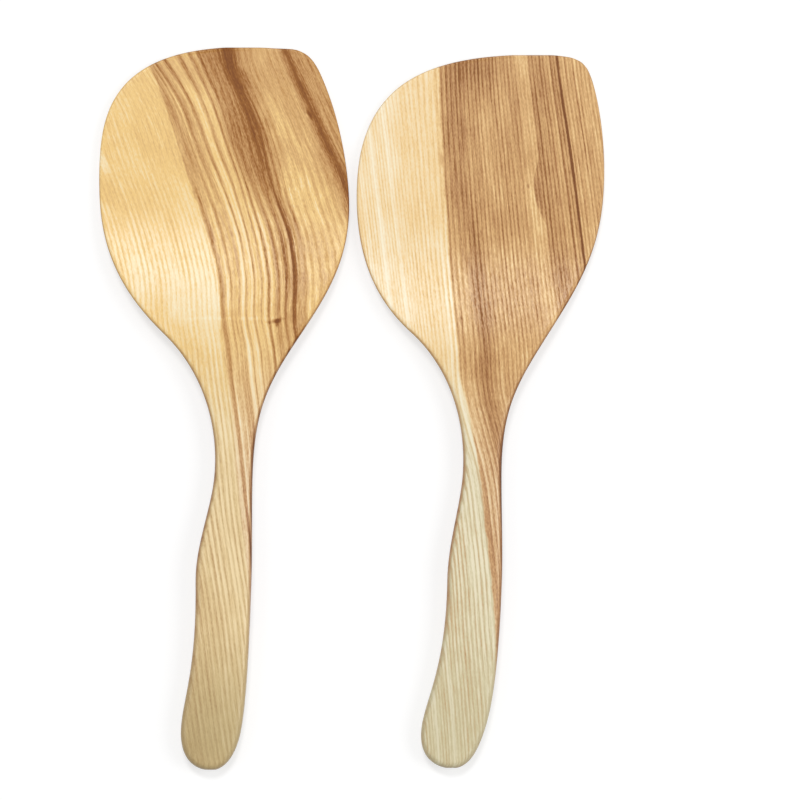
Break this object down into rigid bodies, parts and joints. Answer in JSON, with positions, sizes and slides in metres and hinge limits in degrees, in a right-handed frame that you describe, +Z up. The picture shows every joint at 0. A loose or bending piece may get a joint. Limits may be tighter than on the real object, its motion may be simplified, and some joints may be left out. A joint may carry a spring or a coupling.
{
  "type": "wooden spatula pair",
  "caption": "Matched wooden spatulas lying side by side, each carved from a solid board with a broad thin blade, a cut corner and a curved grip, for stirring and scraping pans.",
  "frame": {"origin": "on the table under the middle of the pair's bounding box", "axes": "+Y from the butts of the grips to the tips of the blades, +Z up from the flat backs, +X from the left spatula to the right one"},
  "size_m": [0.21, 0.2996, 0.0115],
  "materials": {
    "left_wood": "oiled satin",
    "right_wood": "oiled satin"
  },
  "bodies": {
    "left_spatula": {"left_spatula": "left_wood"},
    "right_spatula": {"right_spatula": "right_wood"}
  },
  "joints": [
    {"name": "right_spatula_lift", "type": "slide", "parent": "left_spatula", "child": "right_spatula", "axis": [0, 0, 1], "range_m": [0, 0.12]}
  ]
}
